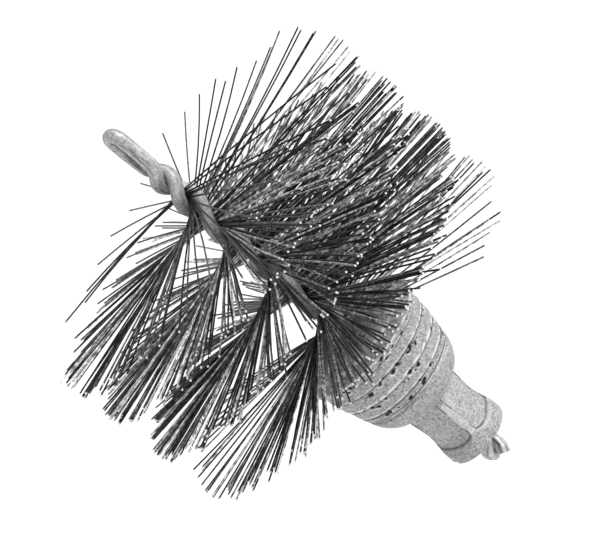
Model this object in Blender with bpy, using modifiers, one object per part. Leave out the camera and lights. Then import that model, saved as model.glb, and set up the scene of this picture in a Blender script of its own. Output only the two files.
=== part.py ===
"""Drain auger brush: a twisted wire stem, its pinched steel bristles and a cast coupling.

The stem stands on +Z, from the coupling's end face at the origin to the eye at the top.
"""
import math

import bmesh
import bpy
import numpy as np
from mathutils import Matrix, Vector

MM = 0.001

# Clearance between pieces that touch
CLEARANCE = 0.3 * MM
# How far every cutter runs past what it cuts
OVERRUN = 2.0 * MM

# Coupling: bell, with its radii counted inward from the lip
COUPLING_LENGTH = 45.2 * MM
NECK_LENGTH = 16.2 * MM
LIP_RADIUS = 17.5 * MM
LIP_WIDTH = 1.0 * MM
BELL_RADIUS = LIP_RADIUS - LIP_WIDTH
SHOULDER_WIDTH = 5.9 * MM
FACE_RADIUS = LIP_RADIUS - SHOULDER_WIDTH
LIP_HEIGHT_SHARE = 0.835
RING_DEPTH = 0.4 * MM
LAST_RING_DEPTH = 0.75 * MM
COUPLING_SEGMENTS = 48
# Shoulder between face and lip: share of the way out, share of the way down
SHOULDER_SHARES = ((0.26, 0.10), (0.46, 0.26), (0.60, 0.48), (0.64, 0.56), (0.84, 0.78))
# Bands of the bell: height and radius at the upper edge, then at the lower edge
BAND_SHARES = (
    (0.761, 0.990, 0.676, 1.003),
    (0.652, 0.985, 0.536, 0.967),
    (0.512, 0.945, 0.410, 0.915),
    (0.388, 0.906, 0.331, 0.882),
)
DOME_TOP_SHARE = 0.285
DOME_RADIUS_SHARE = 0.861
DOME_START_ANGLE = 10.0
DOME_END_ANGLE = 63.0
DOME_POINTS = 7

# Coupling: neck
NECK_RADIUS = 8.4 * MM
WAIST_DEPTH = 0.5 * MM
WAIST_RADIUS = NECK_RADIUS - WAIST_DEPTH
WAIST_HEIGHT_SHARE = 0.62
EAR_RADIUS = 8.9 * MM
EAR_HEIGHT_SHARE = 0.15
EAR_ROUND = 0.9 * MM
NECK_POINTS = 4

# Coupling: four wrench flats, which bite a little into the dome, and the notches of the end
FLAT_COUNT = 4
FLAT_ACROSS = 12.7 * MM
FLAT_BASE = 4.3 * MM
FLAT_BITE = 1.2 * MM
FLAT_TOP = NECK_LENGTH + FLAT_BITE
FLAT_END_RADIUS = 5.4 * MM
FLAT_END_POINTS = 12
NOTCH_RADIUS = 0.9 * MM
NOTCH_DEPTH = 0.8 * MM
NOTCH_LENGTH = 4.0 * MM
NOTCH_SIDES = 12
NOTCH_TILT = 14.0
NOTCH_ANGLE = 12.0

# Bristles
BRISTLE_REACH = 51.8 * MM
BRISTLE_WIDTH = 0.48 * MM
BRISTLE_SIDES = 3
BRISTLE_STANDOFF = 1.4 * MM
BRISTLE_BASE = COUPLING_LENGTH + BRISTLE_STANDOFF
BRISTLE_ZONE = 50.8 * MM
BRISTLE_TOP = BRISTLE_BASE + BRISTLE_ZONE
TUFT_COUNT = 18
# Least distance from one bristle to the next, as a share of their width
LEAST_STEP_SHARE = 0.45
# Turn of each row away from its neighbour, as a share of the turn from one bristle to the next
ROW_SPLAY_SHARE = 0.75
# How far the tips lean down along most of the zone, up on one side near its end, and down on both at its end
LOW_LEAN = 1.2 * MM
END_LEAN = 4.8 * MM
LAST_LEAN = 4.8 * MM
LEAN_START_SHARE = 0.78
LEAN_END_SHARE = 0.89
LAST_START_SHARE = 0.933
LAST_END_SHARE = 0.972
# How far the lowest bristles splay sideways over the coupling, and how far up they do
SPLAY_ANGLE = 25.0
SPLAY_HEIGHT = 3.5 * MM
# How much shorter the shortest bristles are cut
TRIM_SHARE = 0.035
GOLDEN = (math.sqrt(5) - 1) / 2

# Stem: one wire folded double and twisted, right-handed
WIRE_DIAMETER = 3.2 * MM
STRAND_GAP = 1.2 * MM
TIGHT_GAP = 0.52 * MM
EYE_GAP = 1.0 * MM
STRAND_RADIUS = (WIRE_DIAMETER + STRAND_GAP) / 2
TIGHT_RADIUS = (WIRE_DIAMETER + TIGHT_GAP) / 2
EYE_RADIUS = (WIRE_DIAMETER + EYE_GAP) / 2
STEM_RADIUS = STRAND_RADIUS + WIRE_DIAMETER / 2
STUB_LENGTH = 7.6 * MM
TIGHT_LENGTH = 8.3 * MM
EYE_BASE = BRISTLE_TOP + TIGHT_LENGTH
EYE_LENGTH = 14.3 * MM
STEM_TOP = EYE_BASE + EYE_LENGTH
# Share of the tight stretch over which the strands close in, and over which the twist dies away
CLOSING_SHARE = 0.51
EASE_SHARE = 0.283
# Height above the coupling at which the two strands lie side by side, along X
SIDE_BY_SIDE_RISE = 10.0 * MM
WIRE_STEP = 2.0 * MM
WIRE_STEP_ANGLE = 26.0
EYE_POINTS = 8
TWIST_STEP = 0.1 * MM

# Length of one half turn of the twist: in the stub, in the coupling, above it and at the eye
STUB_HALF_TURN = 7.0 * MM
COUPLING_HALF_TURN = 19.0 * MM
LOOSE_HALF_TURN = 16.9 * MM
EYE_HALF_TURN = 4.9 * MM
# Tighter twist next to the coupling's face
COLLAR_LENGTH = 9.0 * MM
COLLAR_SHARE = 0.5

# Slice of pinched bristle middles, which fills the gap between the strands
SLICE_HALF_WAIST = STRAND_GAP / 2 - CLEARANCE
SLICE_HALF_EDGE = STRAND_GAP / 2
SLICE_WIDTH_SHARE = 0.9
SLICE_HALF_WIDTH = STEM_RADIUS * SLICE_WIDTH_SHARE
SLICE_EDGE_SHARE = 0.5
SLICE_SECTIONS = 4
ROW_OFFSET_SHARE = 0.7
ROW_OFFSET = (SLICE_HALF_EDGE - BRISTLE_WIDTH / 2) * ROW_OFFSET_SHARE
ROOT_SHARE = 0.76
ROOT_MARGIN_SHARE = 0.52


# Twist

def smooth(share):
    share = min(max(share, 0.0), 1.0)
    return share * share * (3 - 2 * share)


def half_turn_length(height):
    """Length of a half turn: short in the stub, at the coupling's face and towards the eye."""
    if height < COUPLING_LENGTH:
        share = smooth((height + STUB_LENGTH / 4) / STUB_LENGTH)
        return STUB_HALF_TURN + (COUPLING_HALF_TURN - STUB_HALF_TURN) * share
    share = (height - COUPLING_LENGTH) / (EYE_BASE - COUPLING_LENGTH)
    loose = LOOSE_HALF_TURN - (LOOSE_HALF_TURN - EYE_HALF_TURN) * min(share, 1.0) ** 2
    collar = 1 - smooth((height - COUPLING_LENGTH) / COLLAR_LENGTH)
    return loose * (1 - COLLAR_SHARE * collar)


def twist_table():
    """Heights and half turns from the stub's end to the eye, added up in small steps."""
    count = math.ceil((STEM_TOP + STUB_LENGTH) / TWIST_STEP)
    heights = np.linspace(-STUB_LENGTH, STEM_TOP, count + 1)
    ease = TIGHT_LENGTH * EASE_SHARE
    rates = []
    for height in heights:
        fade = 1 - smooth((height - EYE_BASE + ease) / (2 * ease))
        rates.append(fade / half_turn_length(height))
    turns = np.concatenate(([0], np.cumsum((np.array(rates[1:]) + rates[:-1]) / 2 * np.diff(heights))))
    return heights, turns - np.interp(COUPLING_LENGTH + SIDE_BY_SIDE_RISE, heights, turns)


TWIST_HEIGHTS, TWIST_TURNS = twist_table()


def strand_angle(height):
    """Angle of the first strand about Z. The second is opposite."""
    return math.pi * float(np.interp(height, TWIST_HEIGHTS, TWIST_TURNS))


def around(angle):
    return Vector((math.cos(angle), math.sin(angle), 0))


# Scene helpers

def clear_scene():
    for item in list(bpy.data.objects):
        bpy.data.objects.remove(item, do_unlink=True)


def make_collection(name):
    collection = bpy.data.collections.new(name)
    bpy.context.scene.collection.children.link(collection)
    return collection


def make_material(name, colour, metallic, roughness):
    material = bpy.data.materials.new(name)
    material.use_nodes = True
    shader = material.node_tree.nodes["Principled BSDF"]
    shader.inputs["Base Color"].default_value = (*colour, 1)
    shader.inputs["Metallic"].default_value = metallic
    shader.inputs["Roughness"].default_value = roughness
    material.diffuse_color = (*colour, 1)
    return material


def add_object(name, mesh, collection, material=None):
    item = bpy.data.objects.new(name, mesh)
    collection.objects.link(item)
    if material:
        mesh.materials.append(material)
    return item


def hide_cutter(item):
    item.hide_render = True
    item.display_type = "WIRE"


def shade(mesh, angle=35):
    mesh.shade_smooth()
    mesh.set_sharp_from_angle(angle=math.radians(angle))


def boolean(item, cutter, operation):
    modifier = item.modifiers.new(cutter.name, "BOOLEAN")
    modifier.operation = operation
    modifier.object = cutter
    modifier.solver = "EXACT"


def mesh_of(item):
    """The evaluated mesh of an object, as plain mesh data, with its loose caps welded."""
    graph = bpy.context.evaluated_depsgraph_get()
    mesh = bpy.data.meshes.new_from_object(item.evaluated_get(graph))
    body = bmesh.new()
    body.from_mesh(mesh)
    bmesh.ops.remove_doubles(body, verts=body.verts, dist=CLEARANCE / 100)
    body.to_mesh(mesh)
    body.free()
    return mesh


# Stem wire

def strand_offset(height):
    """Distance of a strand from the axis: less where the twist is tight and holds no bristles."""
    share = smooth((height - BRISTLE_TOP) / (TIGHT_LENGTH * CLOSING_SHARE))
    return STRAND_RADIUS + (TIGHT_RADIUS - STRAND_RADIUS) * share


def leg_heights():
    """Heights of the points along one leg, closer together where the twist is tight."""
    heights = [-STUB_LENGTH]
    top = STEM_TOP - WIRE_DIAMETER / 2 - EYE_RADIUS
    while heights[-1] < top:
        turn = half_turn_length(heights[-1]) * WIRE_STEP_ANGLE / 180
        heights.append(heights[-1] + min(WIRE_STEP, turn))
    heights[-1] = top
    return heights


def stem_path():
    """Centre line: up one strand, round the eye and down the other."""
    rise = []
    for height in leg_heights():
        swell = smooth((height - EYE_BASE) * 2 / EYE_LENGTH)
        offset = strand_offset(height)
        offset += (EYE_RADIUS - offset) * swell
        rise.append((offset, height))
    first = [around(strand_angle(z)) * r + Vector((0, 0, z)) for r, z in rise]
    second = [around(strand_angle(z)) * -r + Vector((0, 0, z)) for r, z in rise]
    side = around(strand_angle(STEM_TOP))
    bend = []
    for step in range(1, EYE_POINTS):
        angle = math.pi * step / EYE_POINTS
        lift = EYE_RADIUS * math.sin(angle)
        bend.append(side * (EYE_RADIUS * math.cos(angle)) + Vector((0, 0, rise[-1][1] + lift)))
    return first + bend + second[::-1]


def report_gap(path):
    """Least distance between turns of the wire, measured between points that aren't neighbours along it."""
    points = np.array([tuple(point) for point in path])
    steps = np.linalg.norm(np.diff(points, axis=0), axis=1)
    along = np.concatenate(([0], np.cumsum(steps)))
    apart = np.linalg.norm(points[:, None] - points[None], axis=2)
    far = np.abs(along[:, None] - along[None]) > math.pi * EYE_RADIUS
    least = apart[far].min() - WIRE_DIAMETER
    print(f"stem_wire: least gap to itself {least / MM:.2f} mm over {len(path)} points")


def build_stem(collection, material):
    path = stem_path()
    report_gap(path)
    curve = bpy.data.curves.new("stem_wire_route", "CURVE")
    curve.dimensions = "3D"
    curve.bevel_depth = WIRE_DIAMETER / 2
    curve.bevel_resolution = 1
    curve.use_fill_caps = True
    spline = curve.splines.new("POLY")
    spline.points.add(len(path) - 1)
    for point, place in zip(spline.points, path):
        point.co = (*place, 1)
    route = bpy.data.objects.new("stem_wire_route", curve)
    collection.objects.link(route)
    mesh = mesh_of(route)
    bpy.data.objects.remove(route)
    shade(mesh, 50)
    return add_object("stem_wire", mesh, collection, material)


# Coupling

def neck_outline():
    """Waist and flared end of the neck, from the dome down to the end face."""
    waist_height = NECK_LENGTH * WAIST_HEIGHT_SHARE
    ear_height = NECK_LENGTH * EAR_HEIGHT_SHARE
    points = []
    for step in range(1, NECK_POINTS + 1):
        share = step / NECK_POINTS
        height = NECK_LENGTH + (waist_height - NECK_LENGTH) * share
        points.append((NECK_RADIUS + (WAIST_RADIUS - NECK_RADIUS) * smooth(share), height))
    for step in range(1, NECK_POINTS + 1):
        share = step / NECK_POINTS
        height = waist_height + (ear_height - waist_height) * share
        points.append((WAIST_RADIUS + (EAR_RADIUS - WAIST_RADIUS) * smooth(share), height))
    for step in range(NECK_POINTS):
        angle = math.pi / 2 * step / (NECK_POINTS - 1)
        radius = EAR_RADIUS - EAR_ROUND * (1 - math.cos(angle))
        points.append((radius, EAR_ROUND * (1 - math.sin(angle))))
    return points


def bell_outline():
    """Face, rounded shoulder, lip, ringed bands and dome of the bell."""
    bell = COUPLING_LENGTH - NECK_LENGTH
    lip_top = NECK_LENGTH + bell * LIP_HEIGHT_SHARE
    points = [(FACE_RADIUS, COUPLING_LENGTH)]
    for out, down in SHOULDER_SHARES:
        radius = FACE_RADIUS + (LIP_RADIUS - FACE_RADIUS) * out
        points.append((radius, COUPLING_LENGTH + (lip_top - COUPLING_LENGTH) * down))
    points.append((LIP_RADIUS, lip_top))
    points.append((LIP_RADIUS, lip_top - LIP_WIDTH))
    dome_top = NECK_LENGTH + bell * DOME_TOP_SHARE
    dome_radius = BELL_RADIUS * DOME_RADIUS_SHARE
    for number, (high, high_radius, low, low_radius) in enumerate(BAND_SHARES, start=1):
        base = NECK_LENGTH + bell * low
        radius = BELL_RADIUS * low_radius
        last = number == len(BAND_SHARES)
        below = dome_top if last else NECK_LENGTH + bell * BAND_SHARES[number][0]
        depth = LAST_RING_DEPTH if last else RING_DEPTH
        points.append((BELL_RADIUS * high_radius, NECK_LENGTH + bell * high))
        points.append((radius, base))
        points.append((radius - depth, base + (below - base) / 3))
        if last:
            points.append((radius - depth, base + (below - base) * 2 / 3))
    start = math.radians(DOME_START_ANGLE)
    end = math.radians(DOME_END_ANGLE)
    for step in range(DOME_POINTS):
        angle = start + (end - start) * step / (DOME_POINTS - 1)
        inward = (math.cos(start) - math.cos(angle)) / (math.cos(start) - math.cos(end))
        downward = (math.sin(angle) - math.sin(start)) / (math.sin(end) - math.sin(start))
        radius = dome_radius + (NECK_RADIUS - dome_radius) * inward
        points.append((radius, dome_top + (NECK_LENGTH - dome_top) * downward))
    return points


def turned(name, outline, collection, segments):
    """A closed outline in the XZ plane, turned about Z and shaded smooth between its sharp rings."""
    mesh = bpy.data.meshes.new(name)
    count = len(outline)
    edges = [(index, (index + 1) % count) for index in range(count)]
    mesh.from_pydata([(radius, 0, height) for radius, height in outline], edges, [])
    profile = add_object(f"{name}_profile", mesh, collection)
    screw = profile.modifiers.new("Turn", "SCREW")
    screw.axis = "Z"
    screw.steps = segments
    screw.render_steps = segments
    screw.use_merge_vertices = True
    screw.merge_threshold = CLEARANCE / 10
    solid = mesh_of(profile)
    bpy.data.objects.remove(profile)
    shade(solid)
    return solid


def flat_outline():
    """Outline of a wrench flat's cutter: square at the bell, round at the end, as a mill leaves it."""
    centre = FLAT_BASE + FLAT_END_RADIUS
    points = [(FLAT_END_RADIUS, FLAT_TOP), (-FLAT_END_RADIUS, FLAT_TOP)]
    for step in range(FLAT_END_POINTS + 1):
        angle = math.pi + math.pi * step / FLAT_END_POINTS
        points.append((FLAT_END_RADIUS * math.cos(angle), centre + FLAT_END_RADIUS * math.sin(angle)))
    return points


def slab(name, outline, thickness, collection):
    """A flat outline in the XZ plane, given a thickness along Y."""
    curve = bpy.data.curves.new(name, "CURVE")
    curve.dimensions = "2D"
    curve.fill_mode = "BOTH"
    curve.extrude = thickness / 2
    spline = curve.splines.new("POLY")
    spline.points.add(len(outline) - 1)
    for point, (across, up) in zip(spline.points, outline):
        point.co = (across, up, 0, 1)
    spline.use_cyclic_u = True
    source = bpy.data.objects.new(name, curve)
    collection.objects.link(source)
    mesh = mesh_of(source)
    bpy.data.objects.remove(source)
    mesh.transform(Matrix.Rotation(math.pi / 2, 4, "X"))
    return add_object(name, mesh, collection)


def cut_flats(coupling, cutters):
    thickness = EAR_RADIUS + OVERRUN - FLAT_ACROSS / 2
    for number in range(FLAT_COUNT):
        cutter = slab(f"flat_cutter_{number + 1}", flat_outline(), thickness, cutters)
        angle = math.pi / FLAT_COUNT + 2 * math.pi * number / FLAT_COUNT
        cutter.location = around(angle) * (FLAT_ACROSS / 2 + thickness / 2)
        cutter.rotation_euler = (0, 0, angle + math.pi / 2)
        hide_cutter(cutter)
        boolean(coupling, cutter, "DIFFERENCE")


def cut_notches(coupling, cutters):
    """Short grooves that part the four lobes of the flared end."""
    for number in range(FLAT_COUNT):
        angle = 2 * math.pi * number / FLAT_COUNT + math.radians(NOTCH_ANGLE)
        bpy.ops.mesh.primitive_cylinder_add(
            vertices=NOTCH_SIDES, radius=NOTCH_RADIUS, depth=2 * NOTCH_LENGTH, location=(0, 0, 0))
        cutter = bpy.context.object
        cutter.name = f"notch_cutter_{number + 1}"
        for collection in list(cutter.users_collection):
            collection.objects.unlink(cutter)
        cutters.objects.link(cutter)
        lean = Matrix.Rotation(math.radians(NOTCH_TILT), 4, "Y")
        turn = Matrix.Rotation(angle, 4, "Z")
        place = Matrix.Translation((EAR_RADIUS + NOTCH_RADIUS - NOTCH_DEPTH, 0, 0))
        cutter.matrix_world = turn @ place @ lean
        hide_cutter(cutter)
        boolean(coupling, cutter, "DIFFERENCE")


def build_coupling(collection, cutters, material):
    bore = STEM_RADIUS + CLEARANCE
    outline = bell_outline() + neck_outline() + [(bore, 0), (bore, COUPLING_LENGTH)]
    solid = turned("coupling", outline, collection, COUPLING_SEGMENTS)
    coupling = add_object("coupling", solid, collection, material)
    cut_flats(coupling, cutters)
    cut_notches(coupling, cutters)
    return coupling


# Bristles

def slice_section():
    """Outline of the pinched middles: thin between the strands, thicker at both edges."""
    inner = SLICE_HALF_WIDTH * SLICE_EDGE_SHARE
    return (
        (SLICE_HALF_WIDTH, -SLICE_HALF_EDGE),
        (SLICE_HALF_WIDTH, SLICE_HALF_EDGE),
        (inner, SLICE_HALF_EDGE),
        (0, SLICE_HALF_WAIST),
        (-inner, SLICE_HALF_EDGE),
        (-SLICE_HALF_WIDTH, SLICE_HALF_EDGE),
        (-SLICE_HALF_WIDTH, -SLICE_HALF_EDGE),
        (-inner, -SLICE_HALF_EDGE),
        (0, -SLICE_HALF_WAIST),
        (inner, -SLICE_HALF_EDGE),
    )


def bristle_angle(height):
    """The bristles lie square to the line that joins the two strands."""
    return strand_angle(height) + math.pi / 2


def loft(sections):
    """A closed body through rings of corners, all with the same number of corners."""
    body = bmesh.new()
    rings = [[body.verts.new(corner) for corner in section] for section in sections]
    body.faces.new(rings[0][::-1])
    body.faces.new(rings[-1])
    for lower, upper in zip(rings, rings[1:]):
        for index in range(len(lower)):
            after = (index + 1) % len(lower)
            body.faces.new((lower[index], lower[after], upper[after], upper[index]))
    return body


def slice_body(base, top):
    """A stretch of the pinched middles, twisted with the stem."""
    sections = []
    for step in range(SLICE_SECTIONS):
        height = base + (top - base) * step / (SLICE_SECTIONS - 1)
        angle = bristle_angle(height)
        along = around(angle)
        across = around(angle + math.pi / 2)
        sections.append([along * u + across * v + Vector((0, 0, height)) for u, v in slice_section()])
    return loft(sections)


def lean_at(height, side):
    """How far the tip of a bristle leans down. Near the end one side leans up, and the last ones down."""
    share = (height - BRISTLE_BASE) / BRISTLE_ZONE
    lean = LOW_LEAN
    if side < 0:
        change = smooth((share - LEAN_START_SHARE) / (LEAN_END_SHARE - LEAN_START_SHARE))
        lean -= (LOW_LEAN + END_LEAN) * change
    last = smooth((share - LAST_START_SHARE) / (LAST_END_SHARE - LAST_START_SHARE))
    return lean + (LAST_LEAN - lean) * last


def splay_at(height):
    """Turn of a bristle's tip back from its root, which spreads the lowest bristles over the coupling."""
    return -math.radians(SPLAY_ANGLE) * smooth(1 - (height - BRISTLE_BASE) / SPLAY_HEIGHT)


def add_bristle(body, height, side, number, spread):
    """One bristle: a rod from inside the slice to its cut tip, with an edge on top."""
    row = 1 if number % 2 else -1
    angle = bristle_angle(height) + (0 if side > 0 else math.pi)
    normal = around(angle + math.pi / 2)
    out = around(angle + row * spread)
    away = angle + row * spread + splay_at(height)
    trim = (number * GOLDEN + height / BRISTLE_WIDTH * GOLDEN) % 1
    reach = BRISTLE_REACH * (1 - TRIM_SHARE * trim)
    root = SLICE_HALF_WIDTH * ROOT_SHARE
    offset = normal * (row * ROW_OFFSET)
    drop = lean_at(height, side)
    start = out * root + offset + Vector((0, 0, height - drop * root / BRISTLE_REACH))
    end = around(away) * reach + offset + Vector((0, 0, height - drop * reach / BRISTLE_REACH))
    forward = (end - start).normalized()
    across = Vector((0, 0, 1)).cross(forward).normalized()
    turn = Matrix((across, forward.cross(across), forward)).transposed().to_4x4()
    radius = BRISTLE_WIDTH / 2
    bmesh.ops.create_cone(
        body, cap_ends=True, segments=BRISTLE_SIDES, radius1=radius, radius2=radius,
        depth=(end - start).length, matrix=Matrix.Translation((start + end) / 2) @ turn)


def finished(body, name):
    bmesh.ops.recalc_face_normals(body, faces=body.faces)
    mesh = bpy.data.meshes.new(name)
    body.to_mesh(mesh)
    body.free()
    return mesh


def build_tuft(number, collection, cutters, material):
    """A slice of the pinched middles with its bristles on both sides, fused into one body."""
    stretch = BRISTLE_ZONE / TUFT_COUNT
    base = BRISTLE_BASE + stretch * number + CLEARANCE / 2
    top = base + stretch - CLEARANCE
    name = f"bristle_tuft_{number + 1:02d}"
    tuft = add_object(name, finished(slice_body(base, top), name), collection, material)
    margin = BRISTLE_WIDTH * ROOT_MARGIN_SHARE
    gaps = max(int((top - base - 2 * margin) / (BRISTLE_WIDTH * LEAST_STEP_SHARE)), 1)
    step = (top - base - 2 * margin) / gaps
    rods = bmesh.new()
    for side in (-1, 1):
        for index in range(gaps + 1):
            height = base + margin + step * index
            turn = strand_angle(height + step / 2) - strand_angle(height - step / 2)
            add_bristle(rods, height, side, index, turn * ROW_SPLAY_SHARE)
    source = add_object(f"{name}_rods", finished(rods, f"{name}_rods"), cutters)
    hide_cutter(source)
    boolean(tuft, source, "UNION")
    return tuft


def main():
    clear_scene()
    parts = make_collection("drain_auger_brush")
    cutters = make_collection("cutters")
    wire = make_material("stem_wire", (0.50, 0.50, 0.50), 0.9, 0.45)
    cast = make_material("coupling", (0.62, 0.62, 0.62), 0.7, 0.55)
    bristle = make_material("bristle", (0.09, 0.09, 0.09), 0.9, 0.40)
    build_stem(parts, wire)
    build_coupling(parts, cutters, cast)
    for number in range(TUFT_COUNT):
        build_tuft(number, parts, cutters, bristle)


main()
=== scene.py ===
"""Studio dressing for a drain auger brush.

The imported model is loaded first, and the boxes of its pieces give the main sizes. One operator makes each
kind of piece: the twisted stem, the cast coupling, the bristles in their bundles, and the stage with its
lamps and camera.
"""

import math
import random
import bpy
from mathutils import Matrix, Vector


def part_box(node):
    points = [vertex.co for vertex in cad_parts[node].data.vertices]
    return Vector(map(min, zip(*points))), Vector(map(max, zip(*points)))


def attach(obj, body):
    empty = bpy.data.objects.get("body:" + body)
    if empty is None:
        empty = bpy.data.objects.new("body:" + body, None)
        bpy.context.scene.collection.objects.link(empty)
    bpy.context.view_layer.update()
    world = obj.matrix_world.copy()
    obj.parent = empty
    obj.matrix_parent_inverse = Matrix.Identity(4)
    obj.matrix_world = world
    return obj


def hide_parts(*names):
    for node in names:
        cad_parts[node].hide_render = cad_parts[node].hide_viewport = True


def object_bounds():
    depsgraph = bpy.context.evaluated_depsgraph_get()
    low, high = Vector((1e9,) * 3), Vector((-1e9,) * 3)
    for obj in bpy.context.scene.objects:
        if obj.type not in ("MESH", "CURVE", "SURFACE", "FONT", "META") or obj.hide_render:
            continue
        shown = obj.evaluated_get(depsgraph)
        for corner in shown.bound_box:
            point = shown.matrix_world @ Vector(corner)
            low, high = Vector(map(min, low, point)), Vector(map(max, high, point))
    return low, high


bl_info = {
    "name": "Drain Auger Brush",
    "version": (1, 0, 0),
    "blender": (4, 5, 0),
    "location": "View3D > Sidebar > Brush",
    "description": "Dresses a drain auger brush: stem, coupling, bristles and studio",
    "category": "Object",
}

import bpy
import numpy as np
from mathutils import Matrix, Vector

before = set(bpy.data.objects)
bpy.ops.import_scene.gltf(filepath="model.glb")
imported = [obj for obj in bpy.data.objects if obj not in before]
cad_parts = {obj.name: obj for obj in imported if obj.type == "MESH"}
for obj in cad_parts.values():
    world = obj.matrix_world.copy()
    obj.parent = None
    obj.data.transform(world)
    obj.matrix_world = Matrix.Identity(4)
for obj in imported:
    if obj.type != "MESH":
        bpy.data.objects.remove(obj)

MM = 0.001
BODY = "root"
CAD_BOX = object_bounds()
COUPLING_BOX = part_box("coupling")
STEM_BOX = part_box("stem_wire")
TUFTS = sorted(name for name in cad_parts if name.startswith("bristle_tuft_"))

# Heights along the stem
COUPLING_LENGTH = COUPLING_BOX[1].z
STEM_TOP = STEM_BOX[1].z
STUB_LENGTH = 7.6 * MM
BRISTLE_BASE = COUPLING_LENGTH + 1.4 * MM
BRISTLE_ZONE = 50.8 * MM
BRISTLE_TOP = BRISTLE_BASE + BRISTLE_ZONE
TIGHT_LENGTH = 8.3 * MM
EYE_BASE = BRISTLE_TOP + TIGHT_LENGTH
EYE_LENGTH = STEM_TOP - EYE_BASE

# Twist: length of a half turn in the stub, in the coupling, above it and at the eye, and what shortens it
STUB_HALF_TURN = 7.0 * MM
COUPLING_HALF_TURN = 19.0 * MM
LOOSE_HALF_TURN = 16.9 * MM
EYE_HALF_TURN = 4.9 * MM
COLLAR_LENGTH = 9.0 * MM
COLLAR_SHARE = 0.5
SIDE_BY_SIDE_HEIGHT = COUPLING_LENGTH + 10.0 * MM
EASE_SHARE = 0.283
STUB_EASE = STUB_LENGTH / 4

# Wire: how soon its strands close in above the bristles and in the stub, and open into the eye
CLOSING_SHARE = 0.51
STUB_CLOSING_SHARE = 0.5
OPENING_SHARE = 0.5
TWIST_STEP = 0.1 * MM
WIRE_STEP = 0.5 * MM
WIRE_SIDES = 28
WIRE_CREASE = 40
EYE_POINTS = 20

# Coupling: bell. Heights and radii are shares of its length and of its radius
NECK_LENGTH = 16.2 * MM
BELL_LENGTH = COUPLING_LENGTH - NECK_LENGTH
DOME_FOOT = NECK_LENGTH + 1.3 * MM
LIP_RADIUS = COUPLING_BOX[1].x
LIP_WIDTH = 1.0 * MM
BELL_RADIUS = LIP_RADIUS - LIP_WIDTH
FACE_RADIUS = LIP_RADIUS - 5.9 * MM
LIP_TOP = NECK_LENGTH + BELL_LENGTH * 0.835
RING_DEPTH = 0.4 * MM
LAST_RING_DEPTH = 0.75 * MM
# Shoulder, from the face to the lip: how far out, and how far down
SHOULDER_SHARES = ((0.26, 0.10), (0.46, 0.26), (0.60, 0.48), (0.64, 0.56), (0.84, 0.78))
# Bands between the rings: height and radius of each one's upper edge, then of its lower edge
BAND_SHARES = (
    (0.761, 0.990, 0.676, 1.003),
    (0.652, 0.985, 0.536, 0.967),
    (0.512, 0.945, 0.410, 0.915),
    (0.388, 0.906, 0.331, 0.882),
)
DOME_TOP_SHARE = 0.285
DOME_RADIUS_SHARE = 0.861
DOME_START_ANGLE = 10.0
DOME_END_ANGLE = 63.0
DOME_POINTS = 12

# Coupling: neck, flats and notches
NECK_RADIUS = 8.4 * MM
WAIST_RADIUS = 7.9 * MM
WAIST_HEIGHT_SHARE = 0.62
EAR_RADIUS = 8.9 * MM
EAR_HEIGHT_SHARE = 0.15
EAR_ROUND = 0.9 * MM
NECK_POINTS = 8
FLAT_COUNT = 4
FLAT_DISTANCE = 6.35 * MM
FLAT_WALL_ROUND = 0.14 * MM
FLAT_WALL_INSET = 0.25 * MM
FLAT_BASE = 3.5 * MM
FLAT_TOP = DOME_FOOT + 1.4 * MM
FLAT_HALF_WIDTH = 5.4 * MM
FLAT_END_RADIUS = 9.2 * MM
NOTCH_RADIUS = 1.3 * MM
NOTCH_DEPTH = 1.1 * MM
NOTCH_ANGLE = 12.0
NOTCH_HEIGHT = 3.6 * MM
BORE_RADIUS = 4.1 * MM
OUTSIDE_RADIUS = BORE_RADIUS + MM

# Coupling: painted shade along the flats' edges, painted highlight on their walls and on the strips between
# them
EDGE_WIDTH = 0.3 * MM
EDGE_INSET = 0.3 * MM
RIM_DEPTH = 0.2 * MM
RIM_SHARE = 0.8
WALL_START = -0.15 * MM
WALL_WIDTH = 0.15 * MM
WALL_SHARE = 0.75
STRIP_BASE = FLAT_BASE + 2 * MM
STRIP_SHARE = 0.28

# Coupling: painted highlight lines, painted shade lines and pits of the bell
CASTING_SEGMENTS = 288
CASTING_STEP = 0.25 * MM
CASTING_CREASE = 60
CASTING_MERGE = 0.01 * MM
BELL_ONLY_RADIUS = NECK_RADIUS * 1.3
LINE_STEEPNESS = 1.6
# Painted highlight line round the shoulder
SHOULDER_LINE = COUPLING_LENGTH - 2.6 * MM
# Painted shadow of the bristles on the shoulder, above the lip
SHOULDER_SHADOW_SHARE = 0.3
CREST_HEIGHTS = (LIP_TOP - LIP_WIDTH / 2, *(NECK_LENGTH + BELL_LENGTH * band[2] for band in BAND_SHARES))
CREST_RISES = (0.45 * MM, 0, 0, 0, -0.45 * MM)
# Widths of the painted highlight lines on the crests, under the lip and on the shoulder
CREST_HIGHLIGHT_WIDTHS = (0.3 * MM, 0.3 * MM, 0.55 * MM, 0.4 * MM, 0.25 * MM, 0.25 * MM, 0.5 * MM)
# Painted shade lines in the grooves below the crests: how far below, and how wide
GROOVE_SHADE_DROPS = (1.5 * MM, 0.4 * MM, 0.6 * MM, 0.5 * MM, -0.05 * MM)
GROOVE_SHADE_WIDTHS = (0.2 * MM, 0.2 * MM, 0.2 * MM, 0.2 * MM, 0.4 * MM)
# Pits: dents painted dark inside as shade, with a painted highlight on their lower rims
PIT_CLUSTERS = 11
PITS_IN_CLUSTER = 5
PIT_SCATTER = 0.16
PIT_DROPS = (0.3 * MM, 1.7 * MM)
LEAST_PIT = (0.24 * MM, 0.2 * MM)
PIT_GROWTH = (0.55 * MM, 0.4 * MM)
PIT_SLANT = 0.5
PIT_FLOOR = 2.6
PIT_WALL = 2.2
PIT_RIM_PLACE = 2.2
PIT_RIM_CORE = 1.5
PIT_RIM_SHARE = 0.8

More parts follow.
